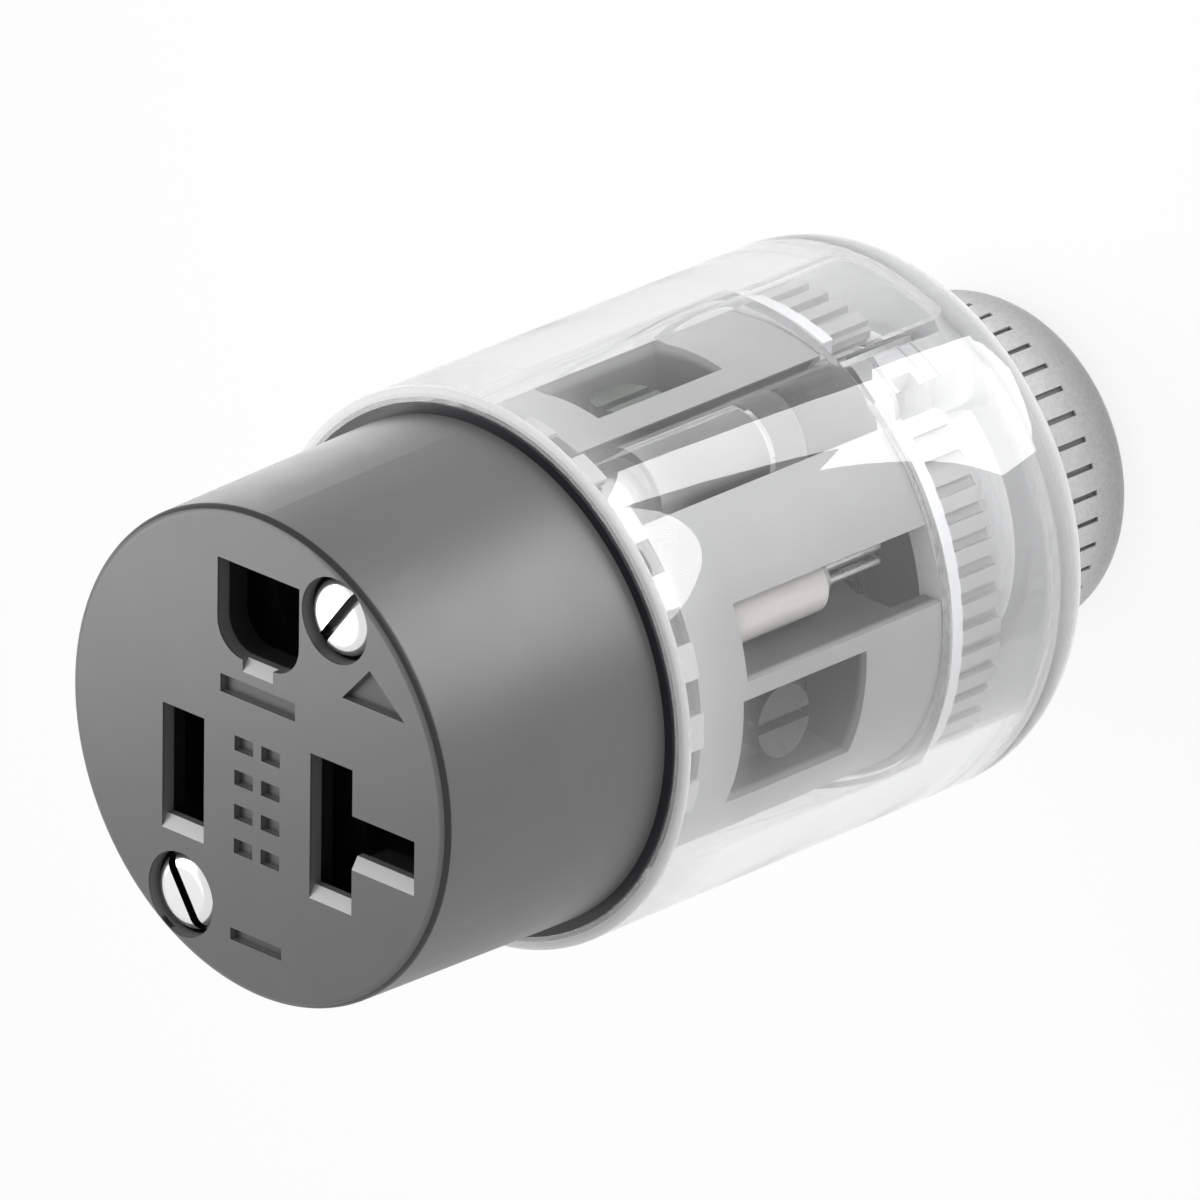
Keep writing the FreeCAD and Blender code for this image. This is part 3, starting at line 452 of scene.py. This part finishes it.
def clear_plastic():
    """Clear polycarbonate, a little wavy, with a frosted front lip, haze at its front, and haze on the rear
    shoulder that is partly a painted reflection.
    """
    recipe = Recipe("clear_body")
    recipe.set(Base_Color=(0.945, 0.947, 0.95), IOR=1.5)
    height = recipe.height()
    at_lip = recipe.product(
        recipe.above(height, LIP_LEVEL, EDGE_BLUR),
        recipe.above(recipe.radius(), LIP_RADIUS - LINE_BLUR, 2 * LINE_BLUR),
    )
    at_front = recipe.remap(height, FRONT_HAZE_LEVEL, LIP_LEVEL, 0.0, FRONT_HAZE)
    # Partly painted reflection: the haze whitens the rear shoulder.
    shoulder_haze_and_reflection = recipe.remap(height, SHOULDER_HAZE_REFLECTION_START, SHOULDER_HAZE_REFLECTION_FULL, 0.0, SHOULDER_HAZE_AND_REFLECTION)
    haze = recipe.larger(at_front, recipe.larger(at_lip, shoulder_haze_and_reflection))
    clearness = recipe.remap(haze, 0.0, 1.0, 1.0, HAZY_CLEARNESS)
    recipe.join(clearness, recipe.shader.inputs["Transmission Weight"])
    polish_and_highlight = recipe.remap(recipe.noise(scale=300), *MIDDLE_NOISE, 0.0, POLISHED_ROUGHNESS)
    frosted = recipe.remap(at_lip, 0.0, 1.0, 0.0, FROSTED_ROUGHNESS)
    recipe.join(recipe.larger(polish_and_highlight, frosted), recipe.shader.inputs["Roughness"])
    recipe.bump(recipe.noise(scale=110, detail=1), height=0.02 * MM)
    absorption = recipe.add("ShaderNodeVolumeAbsorption")
    absorption.inputs["Color"].default_value = (0.1, 0.12, 0.14, 1)
    absorption.inputs["Density"].default_value = 12.0
    recipe.join(absorption.outputs["Volume"], recipe.output.inputs["Volume"])
    return recipe.material


def lamp_glass():
    """Frosted lamp with a warm pale glass."""
    recipe = Recipe("lamp_glass")
    recipe.set(Transmission_Weight=0.25, IOR=1.45)
    recipe.tint(drift(recipe, (0.86, 0.84, 0.8), (0.93, 0.91, 0.88), scale=500))
    recipe.shine(recipe.noise(scale=900), low=0.12, high=0.22)
    return recipe.material


def nut_plastic():
    """Smoky translucent plastic with a fine sparkle, with painted shade over the dome and in the grooves."""
    recipe = Recipe("nut_smoke")
    recipe.set(Transmission_Weight=0.1, IOR=1.5)
    height, radius = recipe.height(), recipe.radius()
    speckle = recipe.remap(recipe.noise(scale=3500, detail=2), *NARROW_NOISE)
    band = recipe.mix(speckle, gray(0.65), gray(0.73))
    # Painted shade: the dome is painted darker than the band.
    dome_shade = recipe.mix(speckle, gray(0.31), gray(0.38))
    colour = recipe.mix(recipe.remap(height, DOME_LEVEL, BAND_LEVEL), dome_shade, band)
    sunk = recipe.product(
        recipe.below(radius, GROOVE_TOP, GROOVE_TOP_BLUR),
        recipe.above(radius, GROOVE_FLOOR, SOFT_BLUR),
    )
    in_groove = recipe.product(sunk, recipe.above(height, GROOVE_LEVEL, SOFT_BLUR))
    # Painted shade: the grooves are painted dark.
    groove_shade = gray(0.22)
    recipe.tint(recipe.mix(in_groove, colour, groove_shade))
    grain(recipe, roughness=0.3, scale=3500, height=0.006 * MM)
    return recipe.material


BRASS = (0.3, 0.25, 0.17), (0.36, 0.31, 0.22)
MATERIALS = {
    "housing_gray": housing_nylon(),
    "gasket_black": gasket_rubber(),
    "clear_body": clear_plastic(),
    "carrier_gray": carrier_plastic(),
    "cap_gray": cap_plastic(),
    "contact_brass": metal("contact_brass", *BRASS, roughness=0.3),
    "contact_nickel": metal("contact_nickel", gray(0.34), gray(0.42), roughness=0.3),
    # Painted shade: the clamp plates are dark gray so the terminal bay looks dark.
    "clamp_steel": metal("clamp_steel", gray(0.1), gray(0.12), roughness=0.42),
    "screw_brass": metal("screw_brass", *BRASS, roughness=0.3),
    # Painted shade: the terminal screws are dark gray so the terminal bay looks dark.
    "screw_steel": metal("screw_steel", gray(0.09), gray(0.12), roughness=0.4),
    "screw_green": metal("screw_green", (0.1, 0.13, 0.1), (0.12, 0.16, 0.12), roughness=0.3),
    "lamp_glass": lamp_glass(),
    "lead_tinned": metal("lead_tinned", gray(0.6), gray(0.7), roughness=0.3),
    "resistor_body": moulded("resistor_body", (0.42, 0.36, 0.28), (0.47, 0.41, 0.32), roughness=0.3),
    "screw_bright": bright_screw(),
    "insert_steel": metal("insert_steel", gray(0.2), gray(0.24), roughness=0.48),
    "collet_white": moulded("collet_white", gray(0.76), gray(0.82), roughness=0.36),
    "grommet_rubber": moulded("grommet_rubber", gray(0.06), gray(0.08), roughness=0.5),
    "slip_white": moulded("slip_white", gray(0.7), gray(0.76), roughness=0.35),
    "nut_smoke": nut_plastic(),
}


def dress_nodes():
    """Give each CAD piece the finish of its slot in the record, and let light through the clear body."""
    for part in frame["record"]["subparts"]:
        slot = part["material_slot"]
        piece = nodes[part["node"]]
        piece.data.materials.clear()
        piece.data.materials.append(MATERIALS[slot])
    nodes["back_body"].visible_shadow = False


def seen_directly(tree):
    """1 for what the camera sees by itself, in a reflection or through clear plastic, and 0 for light."""
    light_path = tree.nodes.new("ShaderNodeLightPath")
    seen = light_path.outputs["Is Camera Ray"]
    for ray in ("Is Glossy Ray", "Is Transmission Ray"):
        either = tree.nodes.new("ShaderNodeMath")
        either.operation = "MAXIMUM"
        tree.links.new(seen, either.inputs[0])
        tree.links.new(light_path.outputs[ray], either.inputs[1])
        seen = either.outputs["Value"]
    return seen


def make_floor():
    """A wide pale floor that looks white, with the connector's soft shadow."""
    mesh = bpy.data.meshes.new("floor")
    corners = [(x * FLOOR_SPREAD, y * FLOOR_SPREAD, 0) for x, y in ((-1, -1), (1, -1), (1, 1), (-1, 1))]
    mesh.from_pydata(corners, [], [(0, 1, 2, 3)])
    floor = bpy.data.objects.new("floor", mesh)
    bpy.context.scene.collection.objects.link(floor)
    recipe = Recipe("floor")
    recipe.set(Base_Color=(0.8, 0.8, 0.8), Roughness=0.9, Specular_IOR_Level=0.0)
    glow = recipe.add("ShaderNodeEmission")
    glow.inputs["Color"].default_value = (1, 1, 1, 1)
    glow.inputs["Strength"].default_value = FLOOR_GLOW
    share = recipe.remap(seen_directly(recipe.tree), 0, 1, 0, FLOOR_SHARE)
    blend = recipe.add("ShaderNodeMixShader")
    recipe.join(share, blend.inputs["Fac"])
    recipe.join(recipe.shader.outputs["BSDF"], blend.inputs[1])
    recipe.join(glow.outputs["Emission"], blend.inputs[2])
    recipe.join(blend.outputs["Shader"], recipe.output.inputs["Surface"])
    mesh.materials.append(recipe.material)


def make_world():
    """White to look at, with a plain level of light."""
    world = bpy.data.worlds.new("studio")
    bpy.context.scene.world = world
    world.use_nodes = True
    tree = world.node_tree
    background = tree.nodes["Background"]
    background.inputs["Color"].default_value = (1, 1, 1, 1)
    strength = tree.nodes.new("ShaderNodeMapRange")
    strength.inputs["To Min"].default_value = WORLD_LIGHT
    strength.inputs["To Max"].default_value = 1.0
    tree.links.new(seen_directly(tree), strength.inputs["Value"])
    tree.links.new(strength.outputs["Result"], background.inputs["Strength"])


def soft_lamp(name, place, aim, width, height, radiance):
    """A soft panel at a place, facing a point, with its width level or nearly so."""
    data = bpy.data.lights.new(name, "AREA")
    data.shape = "RECTANGLE"
    data.size = width
    data.size_y = height
    data.energy = radiance * math.pi * width * height
    lamp = bpy.data.objects.new(name, data)
    bpy.context.scene.collection.objects.link(lamp)
    lamp.location = place
    lamp.rotation_mode = "QUATERNION"
    lamp.rotation_quaternion = (aim - place).to_track_quat("-Z", "Y")
    lamp.visible_camera = False
    return lamp


def floor_panel(name, x, y, width, depth, turn, radiance, reflected):
    """A panel that lies on the floor, facing up: it only shows as a reflection, or else only lights."""
    place = Vector((x, y, PANEL_LIFT))
    panel = soft_lamp(name, place, place + Vector((0, 0, 1)), width, depth, radiance)
    panel.rotation_mode = "XYZ"
    panel.rotation_euler = (math.pi, 0, math.radians(turn))
    panel.visible_diffuse = not reflected
    panel.visible_glossy = reflected
    panel.visible_transmission = False


def light_object():
    for name, lamp in LAMPS.items():
        soft_lamp(name, *lamp)
    for name, panel in REFLECTED_PANELS.items():
        floor_panel(name, *panel, reflected=True)
    for name, card in BOUNCE_CARDS.items():
        floor_panel(name, *card, reflected=False)


make_camera()
dress_nodes()
make_floor()
make_world()
light_object()

bpy.context.scene.view_settings.view_transform = "Standard"
